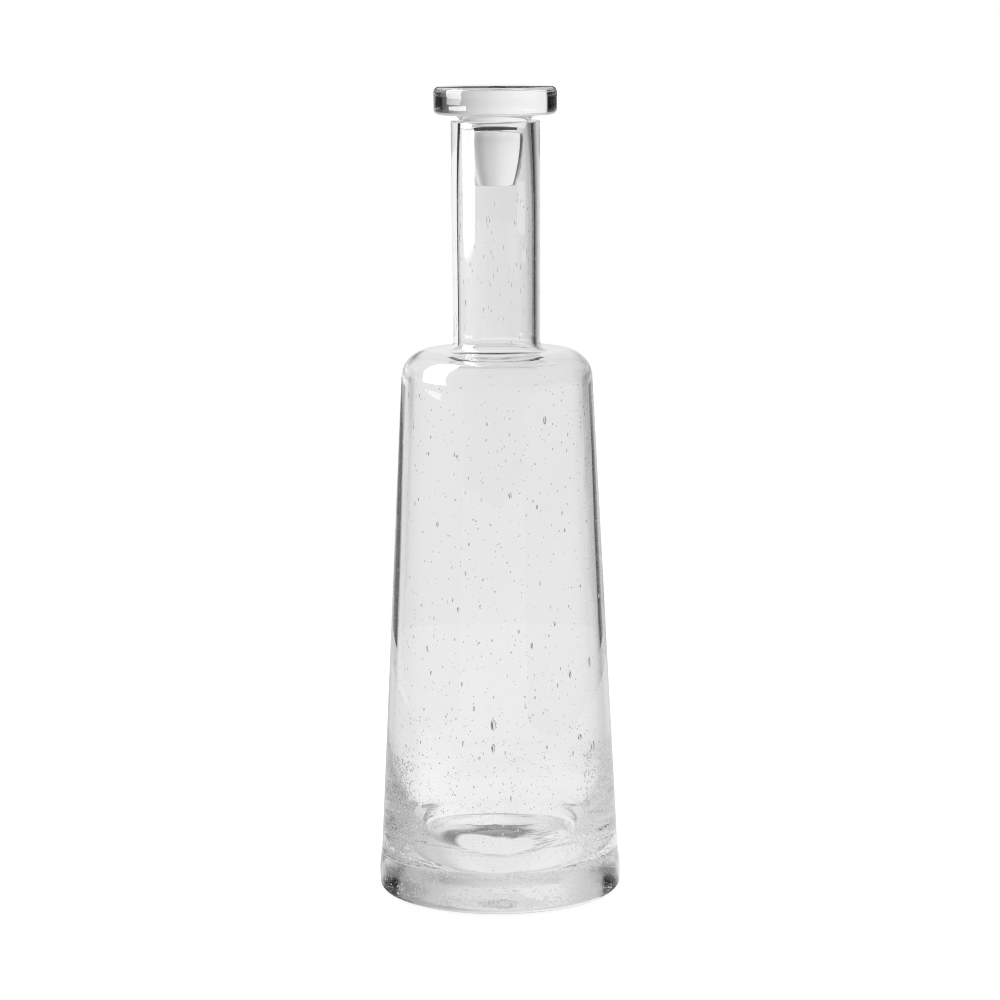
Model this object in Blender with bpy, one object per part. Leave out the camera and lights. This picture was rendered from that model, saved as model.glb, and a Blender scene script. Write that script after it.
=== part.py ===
"""A clear glass carafe with a lift-off glass stopper, as solids in metres with +Z up.

The real thing is two pieces of glass. The bottle is blown: a heavy foot, a body that narrows
upwards, a rounded shoulder and a slender neck, all in one wall. The stopper is solid: a flat
round head on a plug, whose flare rests on the inner edge of the mouth. Both are turned shapes
about the vertical axis. The origin is the centre of the foot, at table level.
"""

import math

import bpy
from mathutils import Vector

# Bottle, outside. The straight side runs from the table up to the shoulder
FOOT_RADIUS = 0.0475
SHOULDER_RADIUS = 0.0366
SHOULDER_HEIGHT = 0.2135
SHOULDER_ROUND = 0.0107
FOOT_SWELL = 0.0005
FOOT_SWELL_HEIGHT = 0.0165
FOOT_EDGE_ROUND = 0.0025
FOOT_RING_WIDTH = 0.007
PUSH_UP = 0.0015

# Neck, from the shoulder up to the mouth
NECK_LENGTH = 0.0885
NECK_DRAW = 0.00035
NECK_ROOT_ROUND = 0.0035
MOUTH_RADIUS = 0.0134
LIP_WALL = 0.0038
LIP_ROUND = 0.0007
NECK_WALL = 0.0023
THROAT_LENGTH = 0.042

# Bottle, inside. The wall thickens downwards, and the hollow rounds in to a thick floor
BODY_WALL = 0.0014
HEEL_WALL = 0.0031
HEEL_HEIGHT = 0.064
FLOOR_THICKNESS = 0.0098
HEEL_SQUARENESS = 4.5

# Stopper. Its heights are measured from the mouth's rim
SEAT_GAP = 0.0003
HEAD_RADIUS = 0.0238
HEAD_THICKNESS = 0.0108
HEAD_TOP_ROUND = 0.002
HEAD_UNDER_ROUND = 0.00225
HEAD_GAP = 0.0023
FLARE_ANGLE = math.radians(45)
FLARE_ROUND = 0.008
FLARE_ROOT_ROUND = 0.0005
PLUG_CLEARANCE = 0.0025
PLUG_LENGTH = 0.0247
PLUG_DRAW = 0.0029
PLUG_END_ROUND = 0.0007

# Glass
BOTTLE_COLOUR = (0.97, 0.98, 0.98, 1.0)
BOTTLE_ROUGHNESS = 0.03
STOPPER_COLOUR = (0.98, 0.98, 0.98, 1.0)
STOPPER_ROUGHNESS = 0.02
GLASS_IOR = 1.5

# Fineness of the turned surfaces
TURN_STEPS = 56
ROUND_STEPS = 4
CURVE_STEPS = 7
HEEL_STEPS = 14
AXIS_MERGE = 0.00001

# Worked out from the sizes above
MOUTH_HEIGHT = SHOULDER_HEIGHT + NECK_LENGTH
NECK_TOP_RADIUS = MOUTH_RADIUS + LIP_WALL
NECK_ROOT_RADIUS = NECK_TOP_RADIUS - NECK_DRAW
PLUG_RADIUS = MOUTH_RADIUS - PLUG_CLEARANCE


def body_radius(height):
    """Outer radius of the straight side at a height above the table."""
    share = height / SHOULDER_HEIGHT
    return FOOT_RADIUS + (SHOULDER_RADIUS - FOOT_RADIUS) * share


def body_wall(height):
    """Thickness of the side, from thin at the shoulder to thick at the heel."""
    share = (SHOULDER_HEIGHT - height) / (SHOULDER_HEIGHT - HEEL_HEIGHT)
    return BODY_WALL + (HEEL_WALL - BODY_WALL) * share


def foot_swell(height):
    """How far the side stands out near the table, in one smooth low ridge."""
    share = height / FOOT_SWELL_HEIGHT
    return FOOT_SWELL * math.sin(math.pi * share) ** 2


def cavity_radius(height):
    """Inner radius of the body, rounded in below the heel by a squarish oval."""
    straight = body_radius(height) - body_wall(height)
    if height >= HEEL_HEIGHT:
        return straight
    depth_share = (HEEL_HEIGHT - height) / (HEEL_HEIGHT - FLOOR_THICKNESS)
    left_share = max(0.0, 1.0 - depth_share**2)
    return straight * left_share ** (1.0 / HEEL_SQUARENESS)


def bore_radius(depth):
    """Inner radius of the neck at a depth below the rim, where the wall is thickest."""
    outer = NECK_TOP_RADIUS - NECK_DRAW * depth / NECK_LENGTH
    mouth_share = max(0.0, 1.0 - depth / THROAT_LENGTH)
    return outer - NECK_WALL - (LIP_WALL - NECK_WALL) * mouth_share**2


def rounded(corners):
    """Points of an outline through corners of (radius, height, round), each round an arc."""
    points = []
    for index, (across, up, size) in enumerate(corners):
        here = Vector((across, up))
        if size == 0:
            points.append(here)
            continue
        before = (Vector(corners[index - 1][:2]) - here).normalized()
        after = (Vector(corners[index + 1][:2]) - here).normalized()
        half = before.angle(after) / 2
        start = here + before * size / math.tan(half)
        end = here + after * size / math.tan(half)
        centre = here + (before + after).normalized() * size / math.sin(half)
        for step in range(ROUND_STEPS + 1):
            share = step / ROUND_STEPS
            spoke = (start - centre).normalized().slerp((end - centre).normalized(), share)
            points.append(centre + spoke * size)
    return points


def bottle_outline():
    """Half section of the bottle: up the inside from the floor, then down the outside."""
    floor = [(0.0, FLOOR_THICKNESS, 0.0)]
    heel = []
    for step in range(1, HEEL_STEPS + 1):
        angle = math.pi / 2 * step / HEEL_STEPS
        height = HEEL_HEIGHT - (HEEL_HEIGHT - FLOOR_THICKNESS) * math.cos(angle)
        heel.append((cavity_radius(height), height, 0.0))

    inner_shoulder = SHOULDER_HEIGHT - NECK_WALL
    inner_round = SHOULDER_ROUND - NECK_WALL
    inside = [
        (cavity_radius(inner_shoulder), inner_shoulder, inner_round),
        (bore_radius(NECK_LENGTH), inner_shoulder, NECK_ROOT_ROUND + NECK_WALL),
        (bore_radius(THROAT_LENGTH), MOUTH_HEIGHT - THROAT_LENGTH, 0.0),
    ]
    throat = []
    for step in range(1, CURVE_STEPS):
        depth = THROAT_LENGTH * (1.0 - step / CURVE_STEPS)
        throat.append((bore_radius(depth), MOUTH_HEIGHT - depth, 0.0))

    outside = [
        (MOUTH_RADIUS, MOUTH_HEIGHT, LIP_ROUND),
        (NECK_TOP_RADIUS, MOUTH_HEIGHT, LIP_ROUND),
        (NECK_ROOT_RADIUS, SHOULDER_HEIGHT, NECK_ROOT_ROUND),
        (SHOULDER_RADIUS, SHOULDER_HEIGHT, SHOULDER_ROUND),
    ]
    foot = []
    for step in range(CURVE_STEPS):
        height = FOOT_SWELL_HEIGHT * (1.0 - step / CURVE_STEPS)
        if height > FOOT_EDGE_ROUND:
            foot.append((body_radius(height) + foot_swell(height), height, 0.0))
    foot.append((FOOT_RADIUS, 0.0, FOOT_EDGE_ROUND))

    hollow_radius = FOOT_RADIUS - FOOT_EDGE_ROUND - FOOT_RING_WIDTH
    underside = []
    for step in range(CURVE_STEPS + 1):
        share = 1.0 - step / CURVE_STEPS
        rise = PUSH_UP * (1.0 + math.cos(math.pi * share)) / 2
        underside.append((hollow_radius * share, rise, 0.0))
    return rounded(floor + heel + inside + throat + outside + foot + underside)


def stopper_outline():
    """Half section of the stopper, down its outside from the middle of the head."""
    under = HEAD_GAP
    top = HEAD_GAP + HEAD_THICKNESS

    # The flare's cone lies one seat gap off the rounded inner edge of the lip
    lip_centre = Vector((MOUTH_RADIUS + LIP_ROUND, -LIP_ROUND))
    off_lip = (LIP_ROUND + SEAT_GAP) / math.cos(FLARE_ANGLE)
    slope = math.tan(FLARE_ANGLE)

    def cone_radius(height):
        return lip_centre.x - off_lip + (height - lip_centre.y) * slope

    cone_foot = lip_centre.y + (PLUG_RADIUS - lip_centre.x + off_lip) / slope
    plug_top = cone_foot - FLARE_ROUND * math.tan(FLARE_ANGLE / 2)
    head = [
        (0.0, top, 0.0),
        (HEAD_RADIUS, top, HEAD_TOP_ROUND),
        (HEAD_RADIUS, under, HEAD_UNDER_ROUND),
        (cone_radius(under), under, FLARE_ROOT_ROUND),
        (PLUG_RADIUS, cone_foot, FLARE_ROUND),
    ]
    plug = []
    for step in range(1, CURVE_STEPS):
        share = step / CURVE_STEPS
        height = plug_top - (plug_top + PLUG_LENGTH) * share
        plug.append((PLUG_RADIUS - PLUG_DRAW * share**2, height, 0.0))
    end = [
        (PLUG_RADIUS - PLUG_DRAW, -PLUG_LENGTH, PLUG_END_ROUND),
        (0.0, -PLUG_LENGTH, 0.0),
    ]
    return rounded(head + plug + end)


def clear_glass(name, colour, roughness):
    """Smooth clear glass."""
    material = bpy.data.materials.new(name)
    material.use_nodes = True
    shader = material.node_tree.nodes["Principled BSDF"]
    shader.inputs["Base Color"].default_value = colour
    shader.inputs["Roughness"].default_value = roughness
    shader.inputs["Metallic"].default_value = 0.0
    shader.inputs["IOR"].default_value = GLASS_IOR
    shader.inputs["Transmission Weight"].default_value = 1.0
    return material


def turned(name, outline, material):
    """An object that is its half outline turned once round the vertical axis."""
    mesh = bpy.data.meshes.new(name)
    points = [(point.x, 0.0, point.y) for point in outline]
    edges = [(index, index + 1) for index in range(len(points) - 1)]
    mesh.from_pydata(points, edges, [])
    mesh.materials.append(material)
    piece = bpy.data.objects.new(name, mesh)
    bpy.context.scene.collection.objects.link(piece)
    turn = piece.modifiers.new("turn", "SCREW")
    turn.axis = "Z"
    turn.angle = math.tau
    turn.steps = TURN_STEPS
    turn.render_steps = TURN_STEPS
    turn.use_merge_vertices = True
    turn.merge_threshold = AXIS_MERGE
    turn.use_smooth_shade = True
    return piece


def clear_scene():
    for thing in list(bpy.data.objects):
        bpy.data.objects.remove(thing, do_unlink=True)


def build():
    clear_scene()
    bottle_glass = clear_glass("bottle_glass", BOTTLE_COLOUR, BOTTLE_ROUGHNESS)
    stopper_glass = clear_glass("stopper_glass", STOPPER_COLOUR, STOPPER_ROUGHNESS)
    bottle = turned("bottle", bottle_outline(), bottle_glass)
    stopper = turned("stopper", stopper_outline(), stopper_glass)
    stopper.parent = bottle
    stopper.location = (0.0, 0.0, MOUTH_HEIGHT)


build()
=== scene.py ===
"""A clear blown-glass carafe full of fine air bubbles, with its solid glass stopper, in a studio."""

import math
import random

import bpy
from mathutils import Matrix, Vector, noise


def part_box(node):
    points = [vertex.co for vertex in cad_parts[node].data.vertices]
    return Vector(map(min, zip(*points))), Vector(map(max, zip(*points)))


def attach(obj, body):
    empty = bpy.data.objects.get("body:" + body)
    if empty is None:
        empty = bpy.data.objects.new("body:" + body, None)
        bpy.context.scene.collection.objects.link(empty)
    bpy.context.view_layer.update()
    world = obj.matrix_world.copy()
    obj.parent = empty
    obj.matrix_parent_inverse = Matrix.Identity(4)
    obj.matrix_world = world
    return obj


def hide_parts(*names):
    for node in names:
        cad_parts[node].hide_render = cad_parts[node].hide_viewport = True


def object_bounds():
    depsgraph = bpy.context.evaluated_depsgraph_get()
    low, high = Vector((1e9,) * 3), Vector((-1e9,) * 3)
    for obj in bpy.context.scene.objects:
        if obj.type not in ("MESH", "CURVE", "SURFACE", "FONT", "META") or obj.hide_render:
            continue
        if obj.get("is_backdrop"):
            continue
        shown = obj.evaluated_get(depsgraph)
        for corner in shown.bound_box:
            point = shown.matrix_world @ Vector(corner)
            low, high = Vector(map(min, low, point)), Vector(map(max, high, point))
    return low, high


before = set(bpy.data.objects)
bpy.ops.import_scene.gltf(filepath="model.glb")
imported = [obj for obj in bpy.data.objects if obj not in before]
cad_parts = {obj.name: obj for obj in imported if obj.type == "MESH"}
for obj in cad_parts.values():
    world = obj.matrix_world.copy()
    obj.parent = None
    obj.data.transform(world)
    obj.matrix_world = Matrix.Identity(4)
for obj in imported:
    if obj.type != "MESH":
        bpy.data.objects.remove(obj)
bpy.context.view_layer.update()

# Camera
# It stands a little over a metre off, slightly above the mouth, and looks down at the middle of
# the carafe. The bottle leans a hair to the left in the picture, so the camera is rolled that much.
CAMERA_DISTANCE = 1.2797
CAMERA_HEIGHT = 0.3597
CAMERA_ASIDE = 0.0009
CAMERA_PITCH = math.radians(9.12)
CAMERA_ROLL = math.radians(0.36)
CAMERA_LENS = 119.3
CAMERA_SENSOR = 36.0

camera_data = bpy.data.cameras.new("camera")
camera_data.lens = CAMERA_LENS
camera_data.sensor_width = CAMERA_SENSOR
camera = bpy.data.objects.new("camera", camera_data)
bpy.context.scene.collection.objects.link(camera)
looking = Matrix.Rotation(math.radians(90) - CAMERA_PITCH, 4, "X")
standing = Matrix.Translation((CAMERA_ASIDE, -CAMERA_DISTANCE, CAMERA_HEIGHT))
camera.matrix_world = standing @ looking @ Matrix.Rotation(-CAMERA_ROLL, 4, "Z")
bpy.context.scene.camera = camera

# Bottle
# One blown wall of clear glass: a heavy foot with a thick floor, a body that narrows upwards, a
# rounded shoulder and a slender neck with a fire-polished lip. It is blown from a single gather, so
# the outside, which met the mould, is truer than the inside, which has long shallow waves.
FOOT_RADIUS = 0.0475
SHOULDER_RADIUS = 0.0366
SHOULDER_HEIGHT = 0.2135
SHOULDER_ROUND = 0.0107
FOOT_SWELL = 0.0005
FOOT_SWELL_HEIGHT = 0.0165
FOOT_EDGE_ROUND = 0.0025
FOOT_RING_WIDTH = 0.007
PUSH_UP = 0.0015
NECK_LENGTH = 0.0885
NECK_DRAW = 0.00035
NECK_ROOT_ROUND = 0.0035
MOUTH_RADIUS = 0.0134
LIP_WALL = 0.0038
LIP_ROUND = 0.0007
NECK_WALL = 0.0023
THROAT_LENGTH = 0.042
BODY_WALL = 0.0014
HEEL_WALL = 0.0031
HEEL_HEIGHT = 0.064
FLOOR_THICKNESS = 0.0098
HEEL_SQUARENESS = 4.5
MOUTH_HEIGHT = SHOULDER_HEIGHT + NECK_LENGTH
NECK_TOP_RADIUS = MOUTH_RADIUS + LIP_WALL
NECK_ROOT_RADIUS = NECK_TOP_RADIUS - NECK_DRAW

GLASS_IOR = 1.5
ROUND_STEPS = 10
HEEL_STEPS = 40
SWELL_STEPS = 20
LONGEST_STEP = 0.0025
TURN_STEPS = 192
NEAR_AXIS = 0.00001

BODY_WAVE = 0.00005
HEEL_WAVE = 0.00035
OUTSIDE_WAVE = 0.00003
BROAD_WAVES = (55, 20)
CLOSE_WAVES = (160, 120, 7)
CLOSE_SHARE = 0.4
OUTSIDE_WAVES = (60, 25)
SPOT_DECIMALS = 7


def body_radius(height):
    """Outer radius of the straight side at a height above the table."""
    return FOOT_RADIUS + (SHOULDER_RADIUS - FOOT_RADIUS) * height / SHOULDER_HEIGHT


def body_wall(height):
    """Thickness of the side, from thin at the shoulder to thick at the heel."""
    share = (SHOULDER_HEIGHT - height) / (SHOULDER_HEIGHT - HEEL_HEIGHT)
    return BODY_WALL + (HEEL_WALL - BODY_WALL) * share


def foot_swell(height):
    """How far the side stands out near the table, in one smooth low ridge."""
    return FOOT_SWELL * math.sin(math.pi * height / FOOT_SWELL_HEIGHT) ** 2


def cavity_radius(height):
    """Inner radius of the body, rounded in below the heel."""
    straight = body_radius(height) - body_wall(height)
    if height >= HEEL_HEIGHT:
        return straight
    depth_share = (HEEL_HEIGHT - height) / (HEEL_HEIGHT - FLOOR_THICKNESS)
    return straight * max(0.0, 1.0 - depth_share**2) ** (1.0 / HEEL_SQUARENESS)


def bore_radius(depth):
    """Inner radius of the neck at a depth below the rim."""
    outer = NECK_TOP_RADIUS - NECK_DRAW * depth / NECK_LENGTH
    mouth_share = max(0.0, 1.0 - depth / THROAT_LENGTH)
    return outer - NECK_WALL - (LIP_WALL - NECK_WALL) * mouth_share**2


def rounded(corners):
    """Points of an outline through corners of (radius, height, round), each round an arc."""
    points = []
    for index, (across, up, size) in enumerate(corners):
        here = Vector((across, up))
        if size == 0:
            points.append(here)
            continue
        before = (Vector(corners[index - 1][:2]) - here).normalized()
        after = (Vector(corners[index + 1][:2]) - here).normalized()
        half = before.angle(after) / 2
        start = here + before * size / math.tan(half)
        end = here + after * size / math.tan(half)
        centre = here + (before + after).normalized() * size / math.sin(half)
        for step in range(ROUND_STEPS + 1):
            share = step / ROUND_STEPS
            spoke = (start - centre).normalized().slerp((end - centre).normalized(), share)
            points.append(centre + spoke * size)
    return points


def filled_in(points):
    """The same outline with long stretches cut into short steps."""
    fine = [points[0]]
    for before, after in zip(points, points[1:]):
        pieces = max(1, math.ceil((after - before).length / LONGEST_STEP))
        for piece in range(1, pieces + 1):
            fine.append(before.lerp(after, piece / pieces))
    return fine


def inside_outline():
    """Half section of the hollow, from the middle of the floor up to the mouth."""
    corners = [(0.0, FLOOR_THICKNESS, 0.0)]
    for step in range(1, HEEL_STEPS + 1):
        angle = math.pi / 2 * step / HEEL_STEPS
        height = HEEL_HEIGHT - (HEEL_HEIGHT - FLOOR_THICKNESS) * math.cos(angle)
        corners.append((cavity_radius(height), height, 0.0))
    inner_shoulder = SHOULDER_HEIGHT - NECK_WALL
    corners.append((cavity_radius(inner_shoulder), inner_shoulder, SHOULDER_ROUND - NECK_WALL))
    corners.append((bore_radius(NECK_LENGTH), inner_shoulder, NECK_ROOT_ROUND + NECK_WALL))
    throat_steps = math.ceil(THROAT_LENGTH / LONGEST_STEP)
    for step in range(throat_steps):
        depth = THROAT_LENGTH * (1.0 - step / throat_steps)
        corners.append((bore_radius(depth), MOUTH_HEIGHT - depth, 0.0))
    corners.append((MOUTH_RADIUS, MOUTH_HEIGHT, LIP_ROUND))
    corners.append((NECK_TOP_RADIUS, MOUTH_HEIGHT, 0.0))
    return filled_in(rounded(corners)[:-1])


def outside_outline():
    """Half section of the outside, from the lip down to the middle of the underside."""
    corners = [
        (MOUTH_RADIUS + LIP_ROUND, MOUTH_HEIGHT, 0.0),
        (NECK_TOP_RADIUS, MOUTH_HEIGHT, LIP_ROUND),
        (NECK_ROOT_RADIUS, SHOULDER_HEIGHT, NECK_ROOT_ROUND),
        (SHOULDER_RADIUS, SHOULDER_HEIGHT, SHOULDER_ROUND),
    ]
    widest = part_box("bottle")[1][0]
    for step in range(SWELL_STEPS):
        height = FOOT_SWELL_HEIGHT * (1.0 - step / SWELL_STEPS)
        if height > FOOT_EDGE_ROUND:
            corners.append((min(widest, body_radius(height) + foot_swell(height)), height, 0.0))
    corners.append((FOOT_RADIUS, 0.0, FOOT_EDGE_ROUND))
    hollow_radius = FOOT_RADIUS - FOOT_EDGE_ROUND - FOOT_RING_WIDTH
    for step in range(ROUND_STEPS + 1):
        share = 1.0 - step / ROUND_STEPS
        rise = PUSH_UP * (1.0 + math.cos(math.pi * share)) / 2
        corners.append((hollow_radius * share, rise, 0.0))
    return filled_in(rounded(corners)[1:])


def turned(name, outline, waves):
    """A mesh that is its half outline turned once round, each point moved along its normal by waves."""
    normals = []
    for index, here in enumerate(outline):
        before = outline[max(0, index - 1)]
        after = outline[min(len(outline) - 1, index + 1)]
        along = (after - before).normalized()
        normals.append(Vector((-along.y, along.x)))
    corners = []
    rings = []
    for here, normal in zip(outline, normals):
        if here.x < NEAR_AXIS:
            corners.append((0.0, 0.0, here.y))
            rings.append([len(corners) - 1] * TURN_STEPS)
            continue
        ring = []
        for step in range(TURN_STEPS):
            turn = math.tau * step / TURN_STEPS
            place = Vector((here.x * math.cos(turn), here.x * math.sin(turn), here.y))
            outward = Vector((normal.x * math.cos(turn), normal.x * math.sin(turn), normal.y))
            corners.append(place + outward * waves(place, here))
            ring.append(len(corners) - 1)
        rings.append(ring)
    faces = []
    for upper, lower in zip(rings, rings[1:]):
        for step in range(TURN_STEPS):
            after = (step + 1) % TURN_STEPS
            face = [upper[step], lower[step], lower[after], upper[after]]
            faces.append(list(dict.fromkeys(face)))
    mesh = bpy.data.meshes.new(name)
    mesh.from_pydata(corners, [], faces)
    mesh.shade_smooth()
    return mesh


inside = inside_outline()
outside = outside_outline()


def spot(point):
    """A point of an outline as a key to find it by."""
    return round(point.x, SPOT_DECIMALS), round(point.y, SPOT_DECIMALS)


def wave(place, across, up, start=0):
    """Height of soft random waves at a place, from -1 to 1, with so many to the metre across and up."""
    return noise.noise(Vector((place.x * across, place.y * across, place.z * up + start)))


inside_spots = {spot(point) for point in inside}


def bottle_waves(place, here):
    """How far the glass stands off its true shape: long shallow waves, deeper round the heel."""
    if spot(here) not in inside_spots:
        return -OUTSIDE_WAVE * abs(wave(place, *OUTSIDE_WAVES))
    if place.z > MOUTH_HEIGHT - THROAT_LENGTH:
        return 0.0
    heel_share = max(0.0, 1.0 - place.z / HEEL_HEIGHT)
    broad = wave(place, *BROAD_WAVES)
    close = wave(place, *CLOSE_WAVES)
    mixed = broad * (1 - CLOSE_SHARE) + close * CLOSE_SHARE
    return BODY_WAVE * broad + HEEL_WAVE * heel_share**2 * mixed


bottle_mesh = turned("bottle_glass_wall", inside + outside[1:], bottle_waves)
bottle_piece = bpy.data.objects.new("bottle_blown", bottle_mesh)
bpy.context.scene.collection.objects.link(bottle_piece)

STREAK_SCALE = 260.0
STREAK_STRETCH = 0.12
STREAK_DETAIL = 2.0
PALEST_TINT = 0.99
DEEPEST_TINT = 0.98
SCUFF_SCALE = 900.0
SCUFFS_FROM = 0.6
SCUFFS_FULL = 0.66


def clear_glass(name, streak_depth, wear, wear_height, wear_reach):
    """Clear glass with faint upright streaks, and a little wear below a height and out to a reach."""
    material = bpy.data.materials.new(name)
    material.use_nodes = True
    nodes = material.node_tree.nodes
    links = material.node_tree.links
    shader = nodes["Principled BSDF"]
    shader.inputs["IOR"].default_value = GLASS_IOR
    shader.inputs["Transmission Weight"].default_value = 1.0
    place = nodes.new("ShaderNodeTexCoord")

    stretch = nodes.new("ShaderNodeMapping")
    stretch.inputs["Scale"].default_value = (1.0, 1.0, STREAK_STRETCH)
    streaks = nodes.new("ShaderNodeTexNoise")
    streaks.inputs["Scale"].default_value = STREAK_SCALE
    streaks.inputs["Detail"].default_value = STREAK_DETAIL
    bump = nodes.new("ShaderNodeBump")
    bump.inputs["Strength"].default_value = 1.0
    bump.inputs["Distance"].default_value = streak_depth
    links.new(place.outputs["Object"], stretch.inputs["Vector"])
    links.new(stretch.outputs["Vector"], streaks.inputs["Vector"])
    links.new(streaks.outputs["Fac"], bump.inputs["Height"])
    links.new(bump.outputs["Normal"], shader.inputs["Normal"])

    tint = nodes.new("ShaderNodeMapRange")
    tint.inputs["To Min"].default_value = DEEPEST_TINT
    tint.inputs["To Max"].default_value = PALEST_TINT
    links.new(streaks.outputs["Fac"], tint.inputs["Value"])
    links.new(tint.outputs["Result"], shader.inputs["Base Color"])

    scuffs = nodes.new("ShaderNodeTexNoise")
    scuffs.inputs["Scale"].default_value = SCUFF_SCALE
    worn = nodes.new("ShaderNodeMapRange")
    worn.inputs["From Min"].default_value = SCUFFS_FROM
    worn.inputs["From Max"].default_value = SCUFFS_FULL
    worn.inputs["To Max"].default_value = wear
    parts = nodes.new("ShaderNodeSeparateXYZ")
    low = nodes.new("ShaderNodeMath")
    low.operation = "LESS_THAN"
    low.inputs[1].default_value = wear_height
    flat = nodes.new("ShaderNodeMapping")
    flat.inputs["Scale"].default_value = (1.0, 1.0, 0.0)
    reach = nodes.new("ShaderNodeVectorMath")
    reach.operation = "LENGTH"
    near = nodes.new("ShaderNodeMath")
    near.operation = "LESS_THAN"
    near.inputs[1].default_value = wear_reach
    both = nodes.new("ShaderNodeMath")
    both.operation = "MULTIPLY"
    rough = nodes.new("ShaderNodeMath")
    rough.operation = "MULTIPLY"
    links.new(place.outputs["Object"], scuffs.inputs["Vector"])
    links.new(scuffs.outputs["Fac"], worn.inputs["Value"])
    links.new(place.outputs["Object"], parts.inputs["Vector"])
    links.new(parts.outputs["Z"], low.inputs[0])
    links.new(place.outputs["Object"], flat.inputs["Vector"])
    links.new(flat.outputs["Vector"], reach.inputs[0])
    links.new(reach.outputs["Value"], near.inputs[0])
    links.new(low.outputs[0], both.inputs[0])
    links.new(near.outputs[0], both.inputs[1])
    links.new(both.outputs[0], rough.inputs[0])
    links.new(worn.outputs["Result"], rough.inputs[1])
    links.new(rough.outputs[0], shader.inputs["Roughness"])
    return material


SCUFF = 0.12
SCUFF_SKIN = 0.0001
SCUFF_HEIGHT = PUSH_UP + SCUFF_SKIN
SCUFF_REACH = FOOT_RADIUS - FOOT_EDGE_ROUND
BOTTLE_STREAK_DEPTH = 0.00001
bottle_glass = clear_glass("bottle_clear_glass", BOTTLE_STREAK_DEPTH, SCUFF, SCUFF_HEIGHT, SCUFF_REACH)
bottle_mesh.materials.append(bottle_glass)
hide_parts("bottle")
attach(bottle_piece, "bottle")

# Seeds in the bottle
# The glass is full of fine air bubbles, which are small closed hollows in the wall. They are drawn
# out upwards with the neck, sit sparsely in the upper body, and crowd together in the heel and floor.
SCATTER_START = 7
random.seed(SCATTER_START)


def ball(rows, columns):
    """Corners and faces of a unit ball whose faces point inwards, as a hollow in glass has them."""
    corners = [(0.0, 0.0, -1.0)]
    for row in range(1, rows):
        lift = math.pi * row / rows
        reach = math.sin(lift)
        for column in range(columns):
            turn = math.tau * column / columns
            corners.append((reach * math.cos(turn), reach * math.sin(turn), -math.cos(lift)))
    corners.append((0.0, 0.0, 1.0))
    faces = []
    last = len(corners) - 1
    for column in range(columns):
        after = (column + 1) % columns
        faces.append((0, 1 + column, 1 + after))
        top = 1 + (rows - 2) * columns
        faces.append((last, top + after, top + column))
        for row in range(rows - 2):
            low = 1 + row * columns
            faces.append((low + column, low + columns + column, low + columns + after, low + after))
    return corners, faces


# Rows and columns of faces on a bubble
SMALL = (4, 7)
MIDDLING = (6, 10)
LARGE = (10, 16)


def blow(seeds, where, size, fineness=SMALL):
    """Adds one bubble at where = (radius, turn, height), of size = (through, across, up)."""
    radius, turn, height = where
    out = Vector((math.cos(turn), math.sin(turn), 0.0))
    along = Vector((-math.sin(turn), math.cos(turn), 0.0))
    centre = out * radius + Vector((0.0, 0.0, height))
    corners, faces = ball(*fineness)
    first = len(seeds["corners"])
    for through, across, up in corners:
        place = centre + out * through * size[0] / 2 + along * across * size[1] / 2
        seeds["corners"].append(place + Vector((0.0, 0.0, up * size[2] / 2)))
    for face in faces:
        seeds["faces"].append(tuple(first + corner for corner in face))


seeds = {"corners": [], "faces": []}
WALL_SHARE = 0.4


def in_wall(height, through):
    """Radius in the glass wall at a height, for a bubble that deep through the wall."""
    outer = body_radius(height)
    inner = cavity_radius(height)
    spare = max(0.0, outer - inner - through) * WALL_SHARE
    return (outer + inner) / 2 + random.uniform(-1, 1) * spare


def all_round():
    """A random turn anywhere round the bottle."""
    return random.uniform(0, math.tau)


FRONT = math.radians(-90)
FRONT_LEFT = math.radians(-90 - 67)
FRONT_RIGHT = math.radians(-90 + 67)
SHOULDER_START = SHOULDER_HEIGHT - SHOULDER_ROUND

# Fine seeds in the body, thicker towards the heel
FINE_COUNT = 1100
FINE_FROM = HEEL_HEIGHT * 0.6
FINE_CROWDING = 1.35
FINE_WIDTHS = (0.00024, 0.00046)
FINE_STRETCH = (1.0, 2.6)
for seed in range(FINE_COUNT):
    height = FINE_FROM + (SHOULDER_START - FINE_FROM) * random.random() ** FINE_CROWDING
    width = random.uniform(*FINE_WIDTHS)
    size = (width, width, width * random.uniform(*FINE_STRETCH))
    blow(seeds, (in_wall(height, size[0]), all_round(), height), size)

# Middling seeds, drawn out upwards
MIDDLING_COUNT = 130
MIDDLING_FROM = HEEL_HEIGHT * 0.7
MIDDLING_WIDTHS = (0.0004, 0.00085)
MIDDLING_STRETCH = (1.4, 3.2)
for seed in range(MIDDLING_COUNT):
    height = MIDDLING_FROM + (SHOULDER_START - MIDDLING_FROM) * random.random()
    width = random.uniform(*MIDDLING_WIDTHS)
    deep = min(width, body_wall(height) / 2)
    size = (deep, width, width * random.uniform(*MIDDLING_STRETCH))
    blow(seeds, (in_wall(height, size[0]), all_round(), height), size, MIDDLING)

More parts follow.
